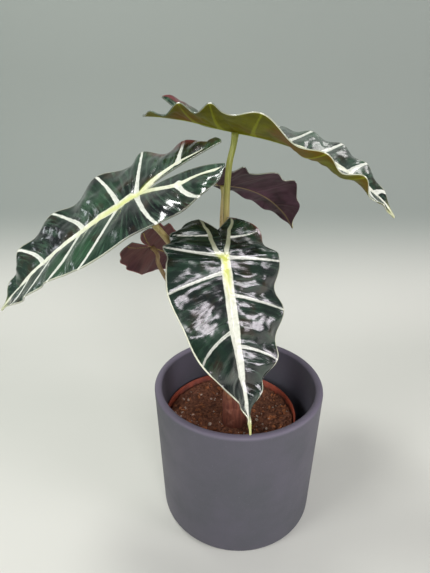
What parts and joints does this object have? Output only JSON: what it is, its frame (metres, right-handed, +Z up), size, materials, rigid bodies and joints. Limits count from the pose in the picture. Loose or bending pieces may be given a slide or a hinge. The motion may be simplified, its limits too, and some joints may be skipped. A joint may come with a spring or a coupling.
{
  "type": "potted polly alocasia",
  "caption": "Houseplant with wavy arrow-shaped dark leaves and pale veins on slim stalks, rooted in a grow pot that stands in a plain round cover pot.",
  "frame": {"origin": "middle of the cover pot's underside, on the surface that it stands on", "axes": "+Z up along the pot's axis, -Y towards the viewer in the picture, +X to the viewer's right"},
  "size_m": [0.2936, 0.2025, 0.365],
  "materials": {
    "cover_pot": "matte",
    "grow_pot": "matte",
    "soil": "matte",
    "crown": "matte",
    "stalk": "satin",
    "blade": "gloss"
  },
  "bodies": {
    "root": {"cover_pot": "cover_pot", "grow_pot": "grow_pot", "soil": "soil", "crown": "crown", "stalk_front": "stalk", "leaf_front": "blade", "stalk_left": "stalk", "leaf_left": "blade", "stalk_top": "stalk", "leaf_top": "blade", "stalk_back": "stalk", "leaf_back": "blade", "stalk_small": "stalk", "leaf_small": "blade"}
  },
  "joints": []
}
